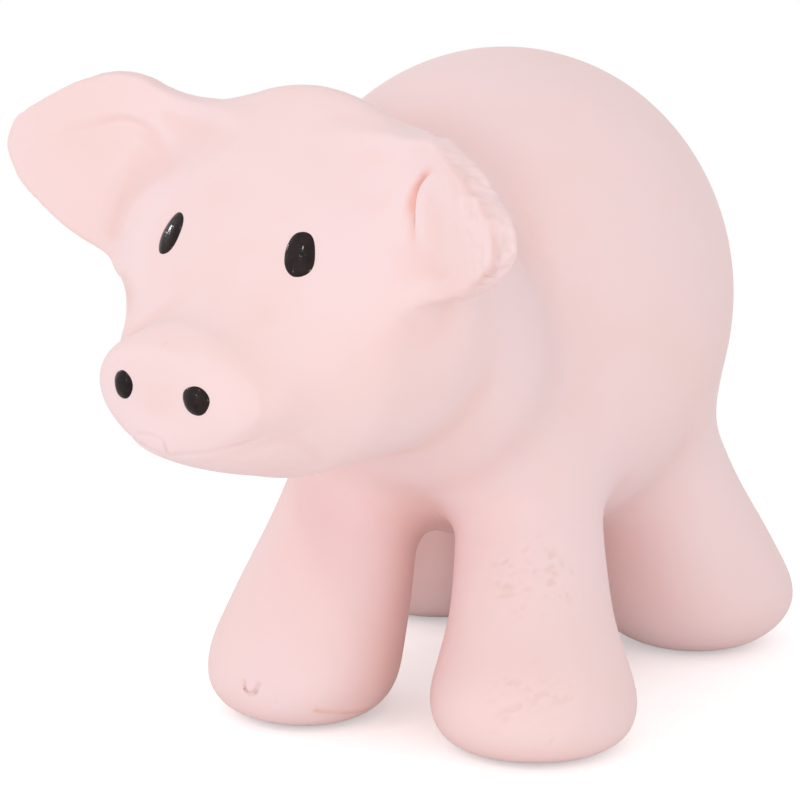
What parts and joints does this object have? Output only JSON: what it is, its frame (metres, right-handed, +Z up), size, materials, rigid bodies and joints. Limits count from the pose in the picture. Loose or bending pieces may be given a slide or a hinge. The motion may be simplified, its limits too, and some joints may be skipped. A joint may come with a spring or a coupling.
{
  "type": "rubber pig teether",
  "caption": "Hollow soft rubber pig that stands on flat soles, with flexing ear flaps to chew, painted eyes and nostrils and a loose rattle ball inside.",
  "frame": {"origin": "on the ground, at the middle of the part's footprint box", "axes": "+Z up from the soles; the pig faces -Y with its left side at +X, and its head is turned to its right, towards -X"},
  "size_m": [0.0768, 0.0978, 0.0766],
  "materials": {
    "pink_rubber": "matte, soft-touch natural rubber",
    "black_paint": "gloss, domed drops",
    "rattle_plastic": "plain moulded",
    "bead_steel": "polished balls"
  },
  "bodies": {
    "body": {"rubber_body": "pink_rubber", "pour_hole_plug": "pink_rubber", "eye_left": "black_paint", "eye_right": "black_paint", "nostril_left": "black_paint", "nostril_right": "black_paint"},
    "ear_left": {"ear_left": "pink_rubber"},
    "ear_right": {"ear_right": "pink_rubber"},
    "rattle": {"rattle_shell_lower": "rattle_plastic", "rattle_shell_upper": "rattle_plastic"},
    "bead_1": {"rattle_bead_1": "bead_steel"},
    "bead_2": {"rattle_bead_2": "bead_steel"},
    "bead_3": {"rattle_bead_3": "bead_steel"},
    "bead_4": {"rattle_bead_4": "bead_steel"},
    "bead_5": {"rattle_bead_5": "bead_steel"},
    "bead_6": {"rattle_bead_6": "bead_steel"}
  },
  "joints": [
    {"name": "ear_left_flex", "type": "hinge", "parent": "body", "child": "ear_left", "pos_m": [0.01996, -0.03307, 0.0638], "axis": [0.2494, -0.2093, -0.9455], "range_deg": [-30, 30], "stiffness_Nm_per_rad": 0.01},
    {"name": "ear_right_flex", "type": "hinge", "parent": "body", "child": "ear_right", "pos_m": [-0.01805, -0.02072, 0.0638], "axis": [0.3248, 0.0227, 0.9455], "range_deg": [-30, 30], "stiffness_Nm_per_rad": 0.01},
    {"name": "rattle_shake", "type": "slide", "parent": "body", "child": "rattle", "axis": [0, 0, 1], "range_m": [0, 0.026]},
    {"name": "bead_1_jump", "type": "slide", "parent": "rattle", "child": "bead_1", "axis": [0, 0, 1], "range_m": [0, 0.013]},
    {"name": "bead_2_jump", "type": "slide", "parent": "rattle", "child": "bead_2", "axis": [0, 0, 1], "range_m": [0, 0.0092]},
    {"name": "bead_3_jump", "type": "slide", "parent": "rattle", "child": "bead_3", "axis": [0, 0, 1], "range_m": [0, 0.0092]},
    {"name": "bead_4_jump", "type": "slide", "parent": "rattle", "child": "bead_4", "axis": [0, 0, 1], "range_m": [0, 0.0092]},
    {"name": "bead_5_jump", "type": "slide", "parent": "rattle", "child": "bead_5", "axis": [0, 0, 1], "range_m": [0, 0.0092]},
    {"name": "bead_6_jump", "type": "slide", "parent": "rattle", "child": "bead_6", "axis": [0, 0, 1], "range_m": [0, 0.0092]}
  ]
}
